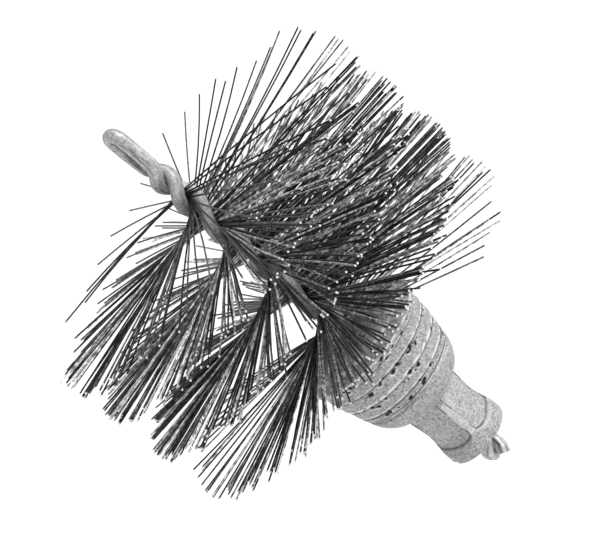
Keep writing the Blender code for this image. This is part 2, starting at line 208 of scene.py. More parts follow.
# Bristles
BRISTLE_REACH = 51.4 * MM
BRISTLE_SIDES = 6
BRISTLE_RINGS = 4
BRISTLE_CREASE = 70
# Share of the zone, and how far apart the bristles are pinched there
PINCH_STEPS = (
    (0.0, 0.14 * MM),
    (0.06, 0.11 * MM),
    (0.12, 0.07 * MM),
    (0.26, 0.075 * MM),
    (0.36, 0.1 * MM),
    (0.8, 0.1 * MM),
)
END_PINCH_STEP = 0.42 * MM
# Length below the top of the zone over which they get fewer, at the left and at the right
LEFT_THINNING = 6.5 * MM
RIGHT_THINNING = 12.0 * MM
ROW_OFFSET = 0.2 * MM
CLUMP_SIZE = 4
CLUMP_TURN = 0.02
TURN_JITTER = 0.03
# Leans of the tips: low down, near the eye on either side, and at the very end
LOW_LEAN = 1.2 * MM
END_LEAN = 4.8 * MM
SIDE_LEAN = 1.8 * MM
LAST_LEAN = 4.8 * MM
LEAN_START_SHARE = 0.78
LEAN_END_SHARE = 0.89
LAST_START_SHARE = 0.933
LAST_END_SHARE = 0.972
CLUMP_LEAN = 0.6 * MM
END_CLUMP_LEAN = 1.2 * MM
LEAN_JITTER = 0.8 * MM
LAST_LEAN_JITTER = 2.6 * MM
SPLAY_ANGLE = 25.0
SPLAY_HEIGHT = 3.5 * MM
BOW_JITTER = 0.5 * MM
BEND_SHARE = 0.4
# Bristles are up to this share short, and few are that short
TRIM_SHARE = 0.05
TRIM_POWER = 3
CUT_LENGTH = 0.3 * MM
BURR_SHARE = 1.15
# A bristle's own draw, and how many times the bristle colour it is. Those next to the eye are darker
# The brightest tones are painted highlights along the bristles
BRISTLE_TONES_AND_HIGHLIGHTS = ((0.0, 0.25), (0.40, 0.9), (0.56, 2.6), (0.70, 6.5), (0.82, 12.0), (1.0, 18.0))
END_DARK_LENGTH = 7.0 * MM
END_TONE_SHARE = 0.6
SEED = 77

# Finishes
MILLED_TONE = (1.05, 1.05, 1.05)
# Painted shade in the grooves, along the flats' edges and on the shoulder
PAINTED_SHADE_TONE = (0.3, 0.3, 0.3)
MARK_STRETCH = (1, 1, 0.08)
METAL_BUMP = 0.12 * MM
BRISTLE_BUMP = 0.03 * MM
CUT_BUMP = 0.02 * MM

# Camera, as the photograph was taken
PICTURE_WIDTH = 600
FOCAL_PIXELS = 1898.7
SENSOR_WIDTH = 36.0
VIEW_DISTANCE = 450 * MM
VIEW_ELEVATION = 18.0
VIEW_ROLL = 50.7
VIEW_HEIGHT = 59.75 * MM
VIEW_RISE = 5.63 * MM

# Stage
FLOOR_DROP = 0.4
FLOOR_SIZE = 40.0
FLOOR_GLOW = (0.45, 0.45, 0.45)
WORLD_STRENGTH = 0.5
KEY_DIRECTION = (0.78, -0.35, 0.45)
KEY_STRENGTH = 2.3
KEY_SPREAD = 12
FILL_DIRECTION = (-0.35, -0.80, -0.10)
FILL_STRENGTH = 0.8
FILL_SPREAD = 30


# Twist

def smooth(share):
    """From 0 to 1, level at both ends. A share may be one number or an array of them."""
    share = np.clip(share, 0.0, 1.0)
    return share * share * (3 - 2 * share)


def half_turn_length(height):
    """Length of a half turn of the twist at a height."""
    if height < COUPLING_LENGTH:
        share = smooth((height + STUB_EASE) / STUB_LENGTH)
        return STUB_HALF_TURN + (COUPLING_HALF_TURN - STUB_HALF_TURN) * share
    share = (height - COUPLING_LENGTH) / (EYE_BASE - COUPLING_LENGTH)
    loose = LOOSE_HALF_TURN - (LOOSE_HALF_TURN - EYE_HALF_TURN) * min(share, 1.0) ** 2
    collar = 1 - smooth((height - COUPLING_LENGTH) / COLLAR_LENGTH)
    return loose * (1 - COLLAR_SHARE * collar)


def twist_table():
    """Heights and half turns from the stub's end to the eye, added up in small steps."""
    count = math.ceil((STEM_TOP + STUB_LENGTH) / TWIST_STEP)
    heights = np.linspace(-STUB_LENGTH, STEM_TOP, count + 1)
    ease = TIGHT_LENGTH * EASE_SHARE
    rates = []
    for height in heights:
        fade = 1 - smooth((height - EYE_BASE + ease) / (2 * ease))
        rates.append(fade / half_turn_length(height))
    turns = np.concatenate(([0], np.cumsum((np.array(rates[1:]) + rates[:-1]) / 2 * np.diff(heights))))
    return heights, turns - np.interp(SIDE_BY_SIDE_HEIGHT, heights, turns)


TWIST_HEIGHTS, TWIST_TURNS = twist_table()


def strand_angle(height):
    """Angle of the first strand about Z. The second is opposite."""
    return math.pi * float(np.interp(height, TWIST_HEIGHTS, TWIST_TURNS))


def around(angle):
    """Level direction at an angle about Z."""
    return Vector((math.cos(angle), math.sin(angle), 0))


# Node helpers. A place is where a node lies in its tree

def add_node(tree, kind, place, **values):
    """A new node with its own values, such as a maths node's operation."""
    node = tree.nodes.new(kind)
    node.location = place
    for key, value in values.items():
        setattr(node, key, value)
    return node


def feed(tree, socket, source):
    """Gives a socket its value: another node's output, a number or a colour."""
    if isinstance(source, bpy.types.NodeSocket):
        tree.links.new(source, socket)
    elif isinstance(source, (int, float)):
        socket.default_value = source
    else:
        socket.default_value = (*source, 1)


def noise(tree, vector, place, scale, detail, roughness=0.5):
    """Soft random values about 0.5, finer with a larger scale."""
    node = add_node(tree, "ShaderNodeTexNoise", place)
    values = {"Vector": vector, "Scale": scale, "Detail": detail, "Roughness": roughness}
    for label, source in values.items():
        feed(tree, node.inputs[label], source)
    return node.outputs["Fac"]


def ramp(tree, value, place, stops):
    """Grey tones for a value, from pairs of value and tone."""
    node = add_node(tree, "ShaderNodeValToRGB", place)
    elements = node.color_ramp.elements
    while len(elements) < len(stops):
        elements.new(0.5)
    for element, (position, tone) in zip(elements, stops):
        element.position = position
        element.color = (tone, tone, tone, 1)
    tree.links.new(value, node.inputs["Fac"])
    return node.outputs["Color"]


def mix_colour(tree, factor, first, second, place, blend="MIX"):
    """The first colour where the factor is 0, and the second where it is 1."""
    node = add_node(tree, "ShaderNodeMix", place, data_type="RGBA", blend_type=blend)
    for number, source in ((0, factor), (6, first), (7, second)):
        feed(tree, node.inputs[number], source)
    return node.outputs[2]


def tint(tree, colour, tone, place, factor=1.0):
    """A colour multiplied by a tone, as far as the factor says."""
    return mix_colour(tree, factor, colour, tone, place, "MULTIPLY")


def maths(tree, operation, first, second, place):
    """What an operation makes of two values."""
    node = add_node(tree, "ShaderNodeMath", place, operation=operation)
    for socket, source in zip(node.inputs, (first, second)):
        feed(tree, socket, source)
    return node.outputs[0]


def layer_value(tree, name, place, output="Fac"):
    """What a mesh says at each point, under a name."""
    return add_node(tree, "ShaderNodeAttribute", place, attribute_name=name).outputs[output]


def own_position(tree, place):
    """The place on the piece itself, in metres."""
    return add_node(tree, "ShaderNodeTexCoord", place).outputs["Object"]


def grain_group():
    """Shared metal grain: broad mottling, fine grain, and a height for the bump."""
    name = "Metal Grain"
    if name in bpy.data.node_groups:
        return bpy.data.node_groups[name]
    tree = bpy.data.node_groups.new(name, "ShaderNodeTree")
    tree.interface.new_socket("Vector", in_out="INPUT", socket_type="NodeSocketVector")
    for label, value in (("Broad Scale", 200.0), ("Fine Scale", 2000.0), ("Contrast", 0.2)):
        socket = tree.interface.new_socket(label, in_out="INPUT", socket_type="NodeSocketFloat")
        socket.default_value = value
    tree.interface.new_socket("Tone", in_out="OUTPUT", socket_type="NodeSocketFloat")
    tree.interface.new_socket("Height", in_out="OUTPUT", socket_type="NodeSocketFloat")
    entry = add_node(tree, "NodeGroupInput", (-700, 0))
    leave = add_node(tree, "NodeGroupOutput", (500, 0))
    vector, broad_scale, fine_scale, contrast = entry.outputs[:4]
    broad = noise(tree, vector, (-450, 150), broad_scale, detail=4.0, roughness=0.6)
    fine = noise(tree, vector, (-450, -150), fine_scale, detail=2.0, roughness=0.7)
    both = maths(tree, "ADD", broad, fine, (-200, 0))
    centred = maths(tree, "SUBTRACT", both, 1.0, (-50, 0))
    scaled = maths(tree, "MULTIPLY", centred, contrast, (100, 0))
    tone = maths(tree, "ADD", scaled, 1.0, (260, 60))
    tree.links.new(tone, leave.inputs["Tone"])
    tree.links.new(both, leave.inputs["Height"])
    return tree


def place_grain(tree, vector, place, broad, fine, contrast):
    """The shared grain with a material's own scales and contrast. Gives its tone and its height."""
    node = add_node(tree, "ShaderNodeGroup", place, node_tree=grain_group())
    values = {"Vector": vector, "Broad Scale": broad, "Fine Scale": fine, "Contrast": contrast}
    for label, source in values.items():
        feed(tree, node.inputs[label], source)
    return node.outputs["Tone"], node.outputs["Height"]


def new_material(name, roughness, metallic):
    """A material with its Principled shader, and that shader's plain values."""
    material = bpy.data.materials.new(name)
    material.use_nodes = True
    tree = material.node_tree
    shader = tree.nodes["Principled BSDF"]
    shader.inputs["Roughness"].default_value = roughness
    shader.inputs["Metallic"].default_value = metallic
    return material, tree, shader


def bump(tree, shader, height, strength, distance):
    """Roughens a shader's surface by a height, of which 1 stands for the distance."""
    node = add_node(tree, "ShaderNodeBump", (-300, -300))
    for label, source in {"Strength": strength, "Distance": distance, "Height": height}.items():
        feed(tree, node.inputs[label], source)
    tree.links.new(node.outputs["Normal"], shader.inputs["Normal"])


# Materials

def cast_metal(colours):
    """Speckled light grey casting with painted highlights on its crests and painted shade in its pits and
    grooves.
    """
    material, tree, shader = new_material("cast_metal", roughness=0.6, metallic=0.35)
    position = own_position(tree, (-1400, 0))
    tone, height = place_grain(tree, position, (-1100, 0), broad=300.0, fine=2600.0, contrast=0.5)
    grains = noise(tree, position, (-1100, -500), scale=1700.0, detail=2.0, roughness=0.7)
    speckle = ramp(tree, grains, (-900, -500), ((0.34, 0.55), (0.5, 1.0), (0.66, 1.4)))
    colour = tint(tree, colours.casting, tone, (-850, 0))
    colour = tint(tree, colour, speckle, (-700, -200))
    milled = layer_value(tree, "milled", (-1100, 700))
    colour = tint(tree, colour, MILLED_TONE, (-600, 0), milled)
    # Painted highlights: lines along the crests and the shoulder, and the pits' rims, broken into dashes
    crest_highlight = layer_value(tree, "crest_highlight", (-1100, 300))
    patch = noise(tree, position, (-1100, 500), scale=500.0, detail=2.0)
    broken = ramp(tree, patch, (-900, 500), ((0.40, 0.05), (0.50, 1.0)))
    shine = maths(tree, "MULTIPLY", crest_highlight, broken, (-700, 400))
    # Painted highlight on the flats' walls and on the strips between them
    flat_highlight = layer_value(tree, "flat_highlight", (-1100, 1100))
    shine = maths(tree, "MAXIMUM", shine, flat_highlight, (-600, 500))
    colour = mix_colour(tree, shine, colour, colours.crest_highlight, (-500, 100))
    # Painted shade in the grooves, along the flats' edges and on the shoulder
    groove = layer_value(tree, "groove", (-1100, 900))
    colour = tint(tree, colour, PAINTED_SHADE_TONE, (-400, 200), groove)
    # Painted shade inside the pits
    pit_and_shade = layer_value(tree, "pit_and_shade", (-1100, -300))
    colour = mix_colour(tree, pit_and_shade, colour, colours.pit_and_shade, (-300, 0))
    tree.links.new(colour, shader.inputs["Base Color"])
    rough = maths(tree, "ADD", height, grains, (-500, -300))
    bump(tree, shader, rough, strength=0.5, distance=METAL_BUMP)
    return material


def drawn_wire(colours):
    """Drawn steel wire: dull grey with fine marks along its length."""
    material, tree, shader = new_material("drawn_wire", roughness=0.55, metallic=0.45)
    stretch = add_node(tree, "ShaderNodeMapping", (-1200, 0))
    stretch.inputs["Scale"].default_value = MARK_STRETCH
    tree.links.new(layer_value(tree, "run", (-1400, 0), "Vector"), stretch.inputs["Vector"])
    run = stretch.outputs["Vector"]
    tone, height = place_grain(tree, run, (-1000, 0), broad=500.0, fine=2200.0, contrast=1.4)
    colour = tint(tree, colours.wire, tone, (-700, 0))
    scratch = noise(tree, run, (-1000, 300), scale=900.0, detail=4.0, roughness=0.7)
    marks = ramp(tree, scratch, (-800, 300), ((0.36, 0.25), (0.46, 1.0), (0.60, 1.0), (0.72, 1.5)))
    colour = tint(tree, colour, marks, (-500, 0))
    position = own_position(tree, (-1400, 600))
    blotch = noise(tree, position, (-1000, 600), scale=1300.0, detail=3.0, roughness=0.6)
    stains = ramp(tree, blotch, (-800, 600), ((0.38, 0.75), (0.5, 1.0), (0.62, 1.2)))
    colour = tint(tree, colour, stains, (-350, 100))
    tree.links.new(colour, shader.inputs["Base Color"])
    bump(tree, shader, height, strength=0.5, distance=METAL_BUMP)
    return material


def spring_steel(colours):
    """Dark bristle steel: each bristle has its own tone, the brightest as painted highlights, with faint
    bands along it.
    """
    material, tree, shader = new_material("spring_steel", roughness=0.3, metallic=0.6)
    shader.inputs["Specular IOR Level"].default_value = 0.3
    # Random tone per bristle; the brightest stand in as painted highlights
    tones = ramp(tree, layer_value(tree, "tone", (-1200, 200)), (-1000, 200), BRISTLE_TONES_AND_HIGHLIGHTS)
    position = own_position(tree, (-1400, -100))
    grain, height = place_grain(tree, position, (-1000, -100), broad=300.0, fine=2400.0, contrast=0.6)
    patch = noise(tree, position, (-1200, 500), scale=650.0, detail=2.0, roughness=0.6)
    bands = ramp(tree, patch, (-1000, 500), ((0.36, 0.4), (0.5, 1.0), (0.64, 2.6)))
    banded = tint(tree, tones, bands, (-850, 300))
    colour = tint(tree, colours.bristle, banded, (-700, 100))
    colour = tint(tree, colour, grain, (-500, 100))
    tree.links.new(colour, shader.inputs["Base Color"])
    bump(tree, shader, height, strength=0.1, distance=BRISTLE_BUMP)
    return material


def cut_steel(colours):
    """Bright freshly cut ends of the bristles."""
    material, tree, shader = new_material("cut_steel", roughness=0.45, metallic=0.2)
    position = own_position(tree, (-1000, 0))
    tone, height = place_grain(tree, position, (-800, 0), broad=900.0, fine=4000.0, contrast=0.3)
    tree.links.new(tint(tree, colours.cut_end, tone, (-500, 0)), shader.inputs["Base Color"])
    bump(tree, shader, height, strength=0.1, distance=CUT_BUMP)
    return material


def backdrop_rays(tree, place):
    """1 for the rays by which a camera, a reflection or glass sees the backdrop."""
    rays = add_node(tree, "ShaderNodeLightPath", place)
    x, y = place
    seen = maths(tree, "ADD", rays.outputs["Is Camera Ray"], rays.outputs["Is Glossy Ray"], (x + 200, y))
    return maths(tree, "ADD", seen, rays.outputs["Is Transmission Ray"], (x + 400, y))


def floor_white(colours):
    """Pale matt floor. A camera, a reflection or glass sees the plain backdrop, with the shadow on it."""
    material, tree, shader = new_material("floor_white", roughness=1.0, metallic=0.0)
    position = own_position(tree, (-1000, 0))
    tone, _ = place_grain(tree, position, (-800, 0), broad=3.0, fine=90.0, contrast=0.01)
    tree.links.new(tint(tree, colours.floor, tone, (-500, 0)), shader.inputs["Base Color"])
    seen = backdrop_rays(tree, (-1000, -300))
    glow = mix_colour(tree, seen, (0, 0, 0), FLOOR_GLOW, (-400, -300))
    tree.links.new(glow, shader.inputs["Emission Color"])
    shader.inputs["Emission Strength"].default_value = 1.0
    return material


# Meshes

def add_piece(name, mesh, node):
    """Puts a finished mesh in the scene, on the brush's one body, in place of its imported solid."""
    piece = bpy.data.objects.new(name, mesh)
    bpy.context.scene.collection.objects.link(piece)
    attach(piece, BODY)
    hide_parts(node)


def add_layer(mesh, name, values):
    """A value at each point, which a material reads by its name."""
    layer = mesh.attributes.new(name, "FLOAT", "POINT")
    layer.data.foreach_set("value", values)


def evaluated_mesh(item):
    """The mesh that an object's modifiers make. The object itself goes."""
    graph = bpy.context.evaluated_depsgraph_get()
    mesh = bpy.data.meshes.new_from_object(item.evaluated_get(graph))
    bpy.data.objects.remove(item)
    return mesh


class Sweep:
    """Collects round rods, each swept along a path, into one mesh with values along them."""

    def __init__(self):
        self.points = []
        self.faces = []
        self.slots = []
        self.runs = []
        self.tones = []

    def add(self, path, radii, sides, tone=0.5, cut_rings=0):
        """One rod with closed ends. Its last few rings may have the second material."""
        start = len(self.points)
        across = None
        length = 0.0
        last = len(path) - 1
        for index, place in enumerate(path):
            ahead = path[min(index + 1, last)] - path[max(index - 1, 0)]
            ahead.normalize()
            if across is None:
                across = ahead.orthogonal().normalized()
            across = (across - ahead * across.dot(ahead)).normalized()
            other = ahead.cross(across)
            if index:
                length += (place - path[index - 1]).length
            for side in range(sides):
                angle = 2 * math.pi * side / sides
                spoke = across * math.cos(angle) + other * math.sin(angle)
                self.points.append(place + spoke * radii[index])
                self.runs.append((radii[index] * math.cos(angle), radii[index] * math.sin(angle), length))
                self.tones.append(tone)
        for ring in range(last):
            slot = 1 if ring >= last - cut_rings else 0
            for side in range(sides):
                after = (side + 1) % sides
                corner = start + ring * sides
                above = corner + sides
                self.faces.append((corner + side, corner + after, above + after, above + side))
                self.slots.append(slot)
        end = start + last * sides
        self.faces.append(tuple(range(start + sides - 1, start - 1, -1)))
        self.slots.append(0)
        self.faces.append(tuple(range(end, end + sides)))
        self.slots.append(1 if cut_rings else 0)

    def mesh(self, name, materials, crease):
        """The finished mesh. Edges sharper than the crease angle stay sharp."""
        mesh = bpy.data.meshes.new(name)
        mesh.from_pydata([tuple(point) for point in self.points], [], self.faces)
        for material in materials:
            mesh.materials.append(material)
        mesh.polygons.foreach_set("material_index", self.slots)
        run = mesh.attributes.new("run", "FLOAT_VECTOR", "POINT")
        run.data.foreach_set("vector", [value for item in self.runs for value in item])
        add_layer(mesh, "tone", self.tones)
        mesh.shade_smooth()
        mesh.set_sharp_from_angle(angle=math.radians(crease))
        return mesh


# Stem

def stem_path(wire, gap, tight_gap, eye_gap):
    """Centre line: up one strand, round the eye and down the other."""
    loose = (wire + gap) / 2
    tight = (wire + tight_gap) / 2
    eye = (wire + eye_gap) / 2
    top = STEM_TOP - wire / 2 - eye
    count = math.ceil((top + STUB_LENGTH) / WIRE_STEP)
    rise = []
    for height in np.linspace(-STUB_LENGTH, top, count + 1):
        closing = smooth((height - BRISTLE_TOP) / (TIGHT_LENGTH * CLOSING_SHARE))
        closed = max(closing, 1 - smooth(height / STUB_LENGTH + STUB_CLOSING_SHARE))
        offset = loose + (tight - loose) * closed
        offset += (eye - offset) * smooth((height - EYE_BASE) / (EYE_LENGTH * OPENING_SHARE))
        rise.append((offset, height))
    first = [around(strand_angle(z)) * r + Vector((0, 0, z)) for r, z in rise]
    second = [around(strand_angle(z)) * -r + Vector((0, 0, z)) for r, z in rise]
    side = around(strand_angle(STEM_TOP))
    bend = []
    for step in range(1, EYE_POINTS):
        angle = math.pi * step / EYE_POINTS
        bend.append(side * (eye * math.cos(angle)) + Vector((0, 0, top + eye * math.sin(angle))))
    return first + bend + second[::-1]


# Coupling

def neck_outline():
    """From the dome's foot down over the waist to the rounded rim of the flared end."""
    waist_height = NECK_LENGTH * WAIST_HEIGHT_SHARE
    ear_height = NECK_LENGTH * EAR_HEIGHT_SHARE
    points = []
    for step in range(1, NECK_POINTS + 1):
        share = step / NECK_POINTS
        height = DOME_FOOT + (waist_height - DOME_FOOT) * share
        points.append((NECK_RADIUS + (WAIST_RADIUS - NECK_RADIUS) * smooth(share), height))
    for step in range(1, NECK_POINTS + 1):
        share = step / NECK_POINTS
        height = waist_height + (ear_height - waist_height) * share
        points.append((WAIST_RADIUS + (EAR_RADIUS - WAIST_RADIUS) * smooth(share), height))
    for step in range(NECK_POINTS):
        angle = math.pi / 2 * step / (NECK_POINTS - 1)
        points.append((EAR_RADIUS - EAR_ROUND * (1 - math.cos(angle)), EAR_ROUND * (1 - math.sin(angle))))
    return points


def bell_outline():
    """From the face down over the shoulder, the lip and the rings to the dome's foot."""
    points = [(FACE_RADIUS, COUPLING_LENGTH)]
    for out, down in SHOULDER_SHARES:
        radius = FACE_RADIUS + (LIP_RADIUS - FACE_RADIUS) * out
        points.append((radius, COUPLING_LENGTH + (LIP_TOP - COUPLING_LENGTH) * down))
    points.append((LIP_RADIUS, LIP_TOP))
    points.append((LIP_RADIUS, LIP_TOP - LIP_WIDTH))
    dome_top = NECK_LENGTH + BELL_LENGTH * DOME_TOP_SHARE
    dome_radius = BELL_RADIUS * DOME_RADIUS_SHARE
    for number, (high, high_radius, low, low_radius) in enumerate(BAND_SHARES, start=1):
        base = NECK_LENGTH + BELL_LENGTH * low
        radius = BELL_RADIUS * low_radius
        last = number == len(BAND_SHARES)
        below = dome_top if last else NECK_LENGTH + BELL_LENGTH * BAND_SHARES[number][0]
        depth = LAST_RING_DEPTH if last else RING_DEPTH
        points.append((BELL_RADIUS * high_radius, NECK_LENGTH + BELL_LENGTH * high))
        points.append((radius, base))
        points.append((radius - depth, base + (below - base) / 3))
        if last:
            points.append((radius - depth, base + (below - base) * 2 / 3))
    start = math.radians(DOME_START_ANGLE)
    end = math.radians(DOME_END_ANGLE)
    for step in range(DOME_POINTS):
        angle = start + (end - start) * step / (DOME_POINTS - 1)
        inward = (math.cos(start) - math.cos(angle)) / (math.cos(start) - math.cos(end))
        downward = (math.sin(angle) - math.sin(start)) / (math.sin(end) - math.sin(start))
        radius = dome_radius + (NECK_RADIUS - dome_radius) * inward
        points.append((radius, dome_top + (DOME_FOOT - dome_top) * downward))
    return points


def resampled(points, step):
    """The same outline with points no further apart than a step."""
    fine = []
    for (r0, z0), (r1, z1) in zip(points, points[1:]):
        count = max(1, math.ceil(math.hypot(r1 - r0, z1 - z0) / step))
        for index in range(count):
            share = index / count
            fine.append((r0 + (r1 - r0) * share, z0 + (z1 - z0) * share))
    fine.append(points[-1])
    return fine


def turned_mesh(name, outline, segments):
    """A closed outline in the XZ plane, turned about Z."""
    mesh = bpy.data.meshes.new(name)
    count = len(outline)
    edges = [(index, (index + 1) % count) for index in range(count)]
    mesh.from_pydata([(radius, 0, height) for radius, height in outline], edges, [])
    profile = bpy.data.objects.new(name, mesh)
    bpy.context.scene.collection.objects.link(profile)
    screw = profile.modifiers.new("Turn", "SCREW")
    screw.axis = "Z"
    screw.steps = segments
    screw.render_steps = segments
    screw.use_merge_vertices = True
    screw.merge_threshold = CASTING_MERGE
    return evaluated_mesh(profile)


def axis_distance(places):
    """How far each place is from the Z axis."""
    return np.hypot(places[:, 0], places[:, 1])


def turn_from(places, angle):
    """How far each place is turned about Z from an angle, between minus and plus half a turn."""
    turn = np.arctan2(places[:, 1], places[:, 0]) - angle
    return (turn + math.pi) % (2 * math.pi) - math.pi


def line_share(distance, width):
    """1 close to a line, falling to 0 at its width."""
    return np.clip(LINE_STEEPNESS * (1 - np.abs(distance) / width), 0, 1)


def mill_flats(places):
    """Presses the four wrench flats into the neck. Gives shares of floor, of painted shade on edges and of
    painted highlight.
    """
    centre = FLAT_BASE + FLAT_END_RADIUS
    floor = np.zeros(len(places))
    edge_shade = np.zeros(len(places))
    flat_highlight = np.zeros(len(places))
    for number in range(FLAT_COUNT):
        angle = math.pi / FLAT_COUNT + 2 * math.pi * number / FLAT_COUNT
        normal = np.array((math.cos(angle), math.sin(angle)))
        depth = places[:, 0] * normal[0] + places[:, 1] * normal[1]
        across = places[:, 1] * normal[0] - places[:, 0] * normal[1]
        height = places[:, 2]
        straight = np.maximum(np.abs(across) - FLAT_HALF_WIDTH, height - FLAT_TOP)
        rounded = np.hypot(across, height - centre) - FLAT_END_RADIUS
        outside = np.where(height > centre, straight, np.maximum(straight, rounded))
        limit = FLAT_DISTANCE + np.maximum(outside + FLAT_WALL_INSET, 0) ** 2 / FLAT_WALL_ROUND
        pressed = np.where(depth > limit, depth - limit, 0)
        places[:, 0] -= normal[0] * pressed
        places[:, 1] -= normal[1] * pressed
        touched = pressed > 0
        floor[touched & (outside < -EDGE_WIDTH)] = 1
        # Painted shade: a dark line along each flat's edges and at the rim of its floor
        line = line_share(outside + EDGE_INSET, EDGE_WIDTH)
        rim = np.clip(1 - pressed / RIM_DEPTH, 0, 1) * RIM_SHARE
        edge_shade[touched] = np.maximum(edge_shade, np.maximum(line, rim))[touched]
        # Painted highlight on each flat's wall
        wall = np.clip((outside - WALL_START) / WALL_WIDTH, 0, 1) * WALL_SHARE
        flat_highlight[touched] = np.maximum(flat_highlight, wall)[touched]
    # Painted highlight on the strips between the flats
    between = (floor < 1) & (edge_shade == 0) & (places[:, 2] > STRIP_BASE) & (places[:, 2] < NECK_LENGTH)
    flat_highlight[between & (axis_distance(places) > OUTSIDE_RADIUS)] = STRIP_SHARE
    return floor, edge_shade, flat_highlight


def cut_notches(places):
    """Four short grooves that part the lobes of the flared end."""
    for number in range(FLAT_COUNT):
        angle = 2 * math.pi * number / FLAT_COUNT + math.radians(NOTCH_ANGLE)
        radius = axis_distance(places)
        width = turn_from(places, angle) * EAR_RADIUS / NOTCH_RADIUS
        groove = np.clip(1 - width * width, 0, 1) * (1 - smooth(places[:, 2] / NOTCH_HEIGHT))
        scale = 1 - groove * NOTCH_DEPTH / np.maximum(radius, NOTCH_RADIUS)
        outer = radius > OUTSIDE_RADIUS
        places[outer, 0] *= scale[outer]
        places[outer, 1] *= scale[outer]


def near_lines(places, heights, widths):
    """How much each place belongs to one of the lines round the bell."""
    share = np.zeros(len(places))
    for height, width in zip(heights, widths):
        share = np.maximum(share, line_share(places[:, 2] - height, width))
    return share * (axis_distance(places) > BELL_ONLY_RADIUS)


def casting_pits(places):
    """Random short dents below the crests, painted dark as shade: shares of their depth and of their painted
    highlight rims.
    """
    draw = random.Random(SEED)
    depth = np.zeros(len(places))
    rim = np.zeros(len(places))
    radius = axis_distance(places)
    for height in CREST_HEIGHTS[:-1]:
        middles = [draw.uniform(-math.pi, math.pi) for _ in range(PIT_CLUSTERS)]
        for middle in middles * PITS_IN_CLUSTER:
            angle = middle + draw.gauss(0, PIT_SCATTER)
            centre = height - draw.uniform(*PIT_DROPS)
            size = draw.random() ** 2
            half_width, half_height = (least + growth * size for least, growth in zip(LEAST_PIT, PIT_GROWTH))
            slant = draw.uniform(-PIT_SLANT, PIT_SLANT)
            along = turn_from(places, angle) * radius
            up = places[:, 2] - centre - along * slant
            far = (along / half_width) ** 2 + (up / half_height) ** 2
            depth = np.maximum(depth, np.clip(PIT_FLOOR - PIT_WALL * far, 0, 1))
            # Painted highlight on each dent's lower rim
            ring = np.clip(PIT_RIM_CORE - np.abs(far - PIT_RIM_PLACE), 0, 1)
            rim = np.maximum(rim, ring * (up < 0))
    on_bell = radius > BELL_ONLY_RADIUS
    return depth * on_bell, rim * on_bell * (1 - depth)


def casting_mesh(sizes):
    """The turned casting with its flats, notches and pits, and the shares that its material reads."""
    outline = resampled(bell_outline() + neck_outline(), CASTING_STEP)
    outline += [(BORE_RADIUS, 0), (BORE_RADIUS, COUPLING_LENGTH)]
    mesh = turned_mesh("coupling_casting", outline, CASTING_SEGMENTS)
    places = np.empty(len(mesh.vertices) * 3)
    mesh.vertices.foreach_get("co", places)
    places = places.reshape(-1, 3)
    crests = [height + rise for height, rise in zip(CREST_HEIGHTS, CREST_RISES)]
    # Painted highlight lines on the crests, under the lip and round the shoulder
    crest_highlight = near_lines(places, [*crests, CREST_HEIGHTS[0] - LIP_WIDTH, SHOULDER_LINE], CREST_HIGHLIGHT_WIDTHS)
    # Painted shade lines in the grooves and painted shadow of the bristles on the shoulder
    grooves = [height - drop for height, drop in zip(CREST_HEIGHTS, GROOVE_SHADE_DROPS)]
    groove = near_lines(places, grooves, GROOVE_SHADE_WIDTHS)
    groove[places[:, 2] > crests[0]] = SHOULDER_SHADOW_SHARE
    pit_and_shade, rim = casting_pits(places)
    # The pits' lower rims get a painted highlight
    crest_highlight = np.maximum(crest_highlight, rim * PIT_RIM_SHARE)
    # The flats' painted shade joins the other painted shade
    milled, edge_shade, flat_highlight = mill_flats(places)
    groove = np.maximum(groove, edge_shade)
    cut_notches(places)
    sunk = 1 - pit_and_shade * sizes.pit_depth / np.maximum(axis_distance(places), NECK_RADIUS)
    places[:, :2] *= sunk[:, None]
    mesh.vertices.foreach_set("co", places.ravel())
    layers = {"crest_highlight": crest_highlight, "groove": groove, "milled": milled, "flat_highlight": flat_highlight, "pit_and_shade": pit_and_shade}
    for name, values in layers.items():
        add_layer(mesh, name, values)
    mesh.shade_smooth()
    mesh.set_sharp_from_angle(angle=math.radians(CASTING_CREASE))
    return mesh


# Bristles

def pinch_heights(thinning):
    """Heights at which the bristles are pinched, further apart over a length towards the eye."""
    shares, steps = zip(*PINCH_STEPS)
    heights = []
    height = BRISTLE_TOP
    while height > BRISTLE_BASE:
        heights.append(height)
        step = float(np.interp((height - BRISTLE_BASE) / BRISTLE_ZONE, shares, steps))
        height -= step + (END_PINCH_STEP - step) * smooth((height - BRISTLE_TOP + thinning) / thinning)
    return heights


def clump_draws(count, draw):
    """Pairs of draws that a few neighbours share, so that bristles lie in clumps."""
    pairs = []
    while len(pairs) < count:
        pairs += [(draw.gauss(0, 1), draw.gauss(0, 1))] * draw.randint(1, CLUMP_SIZE)
    return pairs[:count]


def lean_at(height, side):
    """How far a tip leans down, and by how much clumps and single bristles stray from that.

    Near the eye one side leans up, and the last bristles lean down again.
    """
    share = (height - BRISTLE_BASE) / BRISTLE_ZONE
    change = smooth((share - LEAN_START_SHARE) / (LEAN_END_SHARE - LEAN_START_SHARE))
    last = smooth((share - LAST_START_SHARE) / (LAST_END_SHARE - LAST_START_SHARE))
    lean = LOW_LEAN + (SIDE_LEAN if side > 0 else -LOW_LEAN - END_LEAN) * change
    spread = CLUMP_LEAN + (END_CLUMP_LEAN - CLUMP_LEAN) * change
    jitter = LEAN_JITTER + (LAST_LEAN_JITTER - LEAN_JITTER) * last
    return lean + (LAST_LEAN - lean) * last, spread, jitter


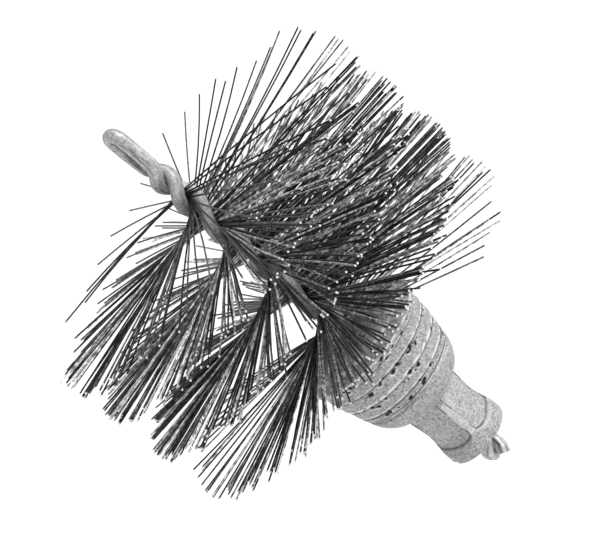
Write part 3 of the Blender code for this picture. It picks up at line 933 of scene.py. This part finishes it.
def bristle_path(height, side, clump, draw):
    """From the middle of the stem to the cut tip, nearly straight, with its clump's lean and turn."""
    angle = strand_angle(height) + math.pi / 2 + (0 if side > 0 else math.pi)
    splay = math.radians(SPLAY_ANGLE) * smooth(1 - (height - BRISTLE_BASE) / SPLAY_HEIGHT)
    along = around(angle - splay + clump[1] * CLUMP_TURN + draw.gauss(0, TURN_JITTER))
    normal = around(angle + math.pi / 2)
    offset = normal * draw.uniform(-ROW_OFFSET, ROW_OFFSET)
    reach = BRISTLE_REACH * (1 - TRIM_SHARE * draw.random() ** TRIM_POWER)
    lean, spread, jitter = lean_at(height, side)
    lean += clump[0] * spread + draw.gauss(0, jitter)
    bow = draw.gauss(0, BOW_JITTER)
    rise = Vector((0, 0, height))
    path = []
    for ring in range(BRISTLE_RINGS + 1):
        share = ring / BRISTLE_RINGS
        drop = lean * ((1 - BEND_SHARE) * share + BEND_SHARE * share * share)
        bulge = 4 * bow * share * (1 - share)
        place = rise + offset + along * (reach * share) + normal * bulge
        path.append(place - Vector((0, 0, drop)))
    tip = path[-1]
    cut = (tip - path[-2]).normalized() * CUT_LENGTH
    return path[:-1] + [tip - cut, tip]


def bundle_of(height):
    """Number of the stretch that a pinch height falls in."""
    share = (height - BRISTLE_BASE) / BRISTLE_ZONE
    return min(int(share * len(TUFTS)), len(TUFTS) - 1)


# Sizes and colours that a user may change

class BrushSizes(bpy.types.PropertyGroup):
    """Sizes of the wire, the bristles and the pits"""
    wire_diameter: bpy.props.FloatProperty(
        name="Wire diameter", description="Thickness of the stem wire",
        default=3.4 * MM, min=2 * MM, max=4 * MM, unit="LENGTH")
    strand_gap: bpy.props.FloatProperty(
        name="Strand gap", description="Gap between the strands where they pinch the bristles",
        default=0.5 * MM, min=0.1 * MM, max=1.5 * MM, unit="LENGTH")
    tight_gap: bpy.props.FloatProperty(
        name="Tight gap", description="Gap between the strands next to the eye",
        default=0.12 * MM, min=0.05 * MM, max=1 * MM, unit="LENGTH")
    eye_gap: bpy.props.FloatProperty(
        name="Eye gap", description="Opening of the eye",
        default=0.8 * MM, min=0.2 * MM, max=3 * MM, unit="LENGTH")
    bristle_diameter: bpy.props.FloatProperty(
        name="Bristle diameter", description="Thickness of one bristle",
        default=0.46 * MM, min=0.2 * MM, max=1 * MM, unit="LENGTH")
    pit_depth: bpy.props.FloatProperty(
        name="Pit depth", description="Depth of the pits in the casting",
        default=0.3 * MM, min=0.0, max=0.6 * MM, unit="LENGTH")


class BrushColours(bpy.types.PropertyGroup):
    """Colours of the metals, of their painted highlights and shade, and of the floor"""
    casting: bpy.props.FloatVectorProperty(
        name="Casting", description="Colour of the cast coupling",
        default=(0.45, 0.45, 0.45), min=0, max=1, subtype="COLOR")
    # Painted highlight colour for the crests and the pits' rims
    crest_highlight: bpy.props.FloatVectorProperty(
        name="Crest", description="Colour of the highlights painted on the casting's crests",
        default=(1.0, 1.0, 1.0), min=0, max=1, subtype="COLOR")
    # Painted shade colour inside the pits
    pit_and_shade: bpy.props.FloatVectorProperty(
        name="Pit", description="Colour of the pits in the casting",
        default=(0.005, 0.005, 0.005), min=0, max=1, subtype="COLOR")
    wire: bpy.props.FloatVectorProperty(
        name="Wire", description="Colour of the stem wire",
        default=(0.52, 0.52, 0.52), min=0, max=1, subtype="COLOR")
    bristle: bpy.props.FloatVectorProperty(
        name="Bristle", description="Colour of the bristles",
        default=(0.045, 0.045, 0.045), min=0, max=1, subtype="COLOR")
    cut_end: bpy.props.FloatVectorProperty(
        name="Cut end", description="Colour of the bristles' cut ends",
        default=(0.85, 0.85, 0.85), min=0, max=1, subtype="COLOR")
    floor: bpy.props.FloatVectorProperty(
        name="Floor", description="Colour of the floor",
        default=(0.95, 0.95, 0.95), min=0, max=1, subtype="COLOR")


# Operators for the pieces

class BRUSH_OT_stem(bpy.types.Operator):
    """Make the folded and twisted stem wire"""
    bl_idname = "brush.stem"
    bl_label = "Stem Wire"

    def execute(self, context):
        sizes = context.scene.brush_sizes
        path = stem_path(sizes.wire_diameter, sizes.strand_gap, sizes.tight_gap, sizes.eye_gap)
        sweep = Sweep()
        sweep.add(path, [sizes.wire_diameter / 2] * len(path), WIRE_SIDES)
        mesh = sweep.mesh("stem", [drawn_wire(context.scene.brush_colours)], WIRE_CREASE)
        add_piece("stem", mesh, "stem_wire")
        return {"FINISHED"}


class BRUSH_OT_coupling(bpy.types.Operator):
    """Make the cast coupling with its ringed bell, wrench flats and flared end"""
    bl_idname = "brush.coupling"
    bl_label = "Coupling"

    def execute(self, context):
        mesh = casting_mesh(context.scene.brush_sizes)
        mesh.materials.append(cast_metal(context.scene.brush_colours))
        add_piece("coupling_casting", mesh, "coupling")
        return {"FINISHED"}


class BRUSH_OT_bristles(bpy.types.Operator):
    """Make the bristles, one bundle for each stretch of the stem"""
    bl_idname = "brush.bristles"
    bl_label = "Bristles"

    def execute(self, context):
        colours = context.scene.brush_colours
        materials = [spring_steel(colours), cut_steel(colours)]
        radius = context.scene.brush_sizes.bristle_diameter / 2
        draw = random.Random(SEED)
        bundles = [Sweep() for _ in TUFTS]
        for side, thinning in ((-1, RIGHT_THINNING), (1, LEFT_THINNING)):
            heights = pinch_heights(thinning)
            for height, clump in zip(heights, clump_draws(len(heights), draw)):
                path = bristle_path(height, side, clump, draw)
                radii = [radius] * (len(path) - 1) + [radius * BURR_SHARE]
                # Tone of this bristle; high draws give painted highlights
                tone = draw.random()
                if height > BRISTLE_TOP - END_DARK_LENGTH:
                    tone *= END_TONE_SHARE
                bundles[bundle_of(height)].add(path, radii, BRISTLE_SIDES, tone, 1)
        for number, (sweep, node) in enumerate(zip(bundles, TUFTS), start=1):
            name = f"bristle_bundle_{number:02d}"
            add_piece(name, sweep.mesh(name, materials, BRISTLE_CREASE), node)
        return {"FINISHED"}


# Stage

def view_turn():
    """The camera's turn: it looks along +Y and down, and is rolled about its own axis."""
    down = Matrix.Rotation(math.radians(90 - VIEW_ELEVATION), 4, "X")
    return down @ Matrix.Rotation(math.radians(-VIEW_ROLL), 4, "Z")


def add_camera():
    """The camera, where the photograph was taken from."""
    camera = bpy.data.cameras.new("photo_camera")
    camera.sensor_width = SENSOR_WIDTH
    camera.lens = FOCAL_PIXELS * SENSOR_WIDTH / PICTURE_WIDTH
    camera.clip_end = FLOOR_SIZE
    item = bpy.data.objects.new("photo_camera", camera)
    bpy.context.scene.collection.objects.link(item)
    turn = view_turn()
    aim = Vector((0, 0, VIEW_HEIGHT)) + (turn @ Vector((0, VIEW_RISE, 0)))
    item.matrix_world = Matrix.Translation(aim + turn @ Vector((0, 0, VIEW_DISTANCE))) @ turn
    bpy.context.scene.camera = item


def add_sun(name, direction, strength, spread):
    """A lamp far away in a direction from the brush. A wide spread gives soft shadows."""
    lamp = bpy.data.lights.new(name, "SUN")
    lamp.energy = strength
    lamp.angle = math.radians(spread)
    item = bpy.data.objects.new(name, lamp)
    item.rotation_mode = "QUATERNION"
    item.rotation_quaternion = Vector(direction).to_track_quat("Z", "Y")
    bpy.context.scene.collection.objects.link(item)


def add_floor(colours):
    """A wide pale floor, well below the brush."""
    bpy.ops.mesh.primitive_plane_add(size=FLOOR_SIZE, location=(0, 0, CAD_BOX[0].z - FLOOR_DROP))
    floor = bpy.context.object
    floor.name = "studio_floor"
    floor.data.materials.append(floor_white(colours))


def light_world():
    """Soft even surroundings, which a camera, a reflection or glass sees as plain white."""
    world = bpy.data.worlds.new("studio")
    bpy.context.scene.world = world
    world.use_nodes = True
    tree = world.node_tree
    tree.nodes.clear()
    output = add_node(tree, "ShaderNodeOutputWorld", (400, 0))
    soft = add_node(tree, "ShaderNodeBackground", (0, 100))
    soft.inputs["Strength"].default_value = WORLD_STRENGTH
    plain = add_node(tree, "ShaderNodeBackground", (0, -100))
    mix = add_node(tree, "ShaderNodeMixShader", (200, 0))
    tree.links.new(backdrop_rays(tree, (-400, 200)), mix.inputs[0])
    tree.links.new(soft.outputs[0], mix.inputs[1])
    tree.links.new(plain.outputs[0], mix.inputs[2])
    tree.links.new(mix.outputs[0], output.inputs["Surface"])


class BRUSH_OT_stage(bpy.types.Operator):
    """Make the floor, the soft light and the camera"""
    bl_idname = "brush.stage"
    bl_label = "Stage"

    def execute(self, context):
        add_floor(context.scene.brush_colours)
        light_world()
        add_sun("key_lamp", KEY_DIRECTION, KEY_STRENGTH, KEY_SPREAD)
        add_sun("fill_lamp", FILL_DIRECTION, FILL_STRENGTH, FILL_SPREAD)
        add_camera()
        context.scene.view_settings.view_transform = "Standard"
        return {"FINISHED"}


# Panel and add-on

class BRUSH_PT_panel(bpy.types.Panel):
    """The brush's sizes, colours and makers"""
    bl_idname = "BRUSH_PT_panel"
    bl_label = "Drain Auger Brush"
    bl_space_type = "VIEW_3D"
    bl_region_type = "UI"
    bl_category = "Brush"

    def draw(self, context):
        for group in (context.scene.brush_sizes, context.scene.brush_colours):
            column = self.layout.column(align=True)
            for name in group.__annotations__:
                column.prop(group, name)
        for operator in OPERATORS:
            self.layout.operator(operator.bl_idname)


OPERATORS = (BRUSH_OT_stem, BRUSH_OT_coupling, BRUSH_OT_bristles, BRUSH_OT_stage)
CLASSES = (BrushSizes, BrushColours, *OPERATORS, BRUSH_PT_panel)


def register():
    """Adds the brush's classes and settings to Blender."""
    for item in CLASSES:
        bpy.utils.register_class(item)
    bpy.types.Scene.brush_sizes = bpy.props.PointerProperty(type=BrushSizes)
    bpy.types.Scene.brush_colours = bpy.props.PointerProperty(type=BrushColours)


def unregister():
    """Takes them away again."""
    del bpy.types.Scene.brush_colours
    del bpy.types.Scene.brush_sizes
    for item in reversed(CLASSES):
        bpy.utils.unregister_class(item)


def main():
    """Makes the whole brush and its stage."""
    register()
    bpy.ops.brush.stem()
    bpy.ops.brush.coupling()
    bpy.ops.brush.bristles()
    bpy.ops.brush.stage()


if __name__ == "__main__":
    main()
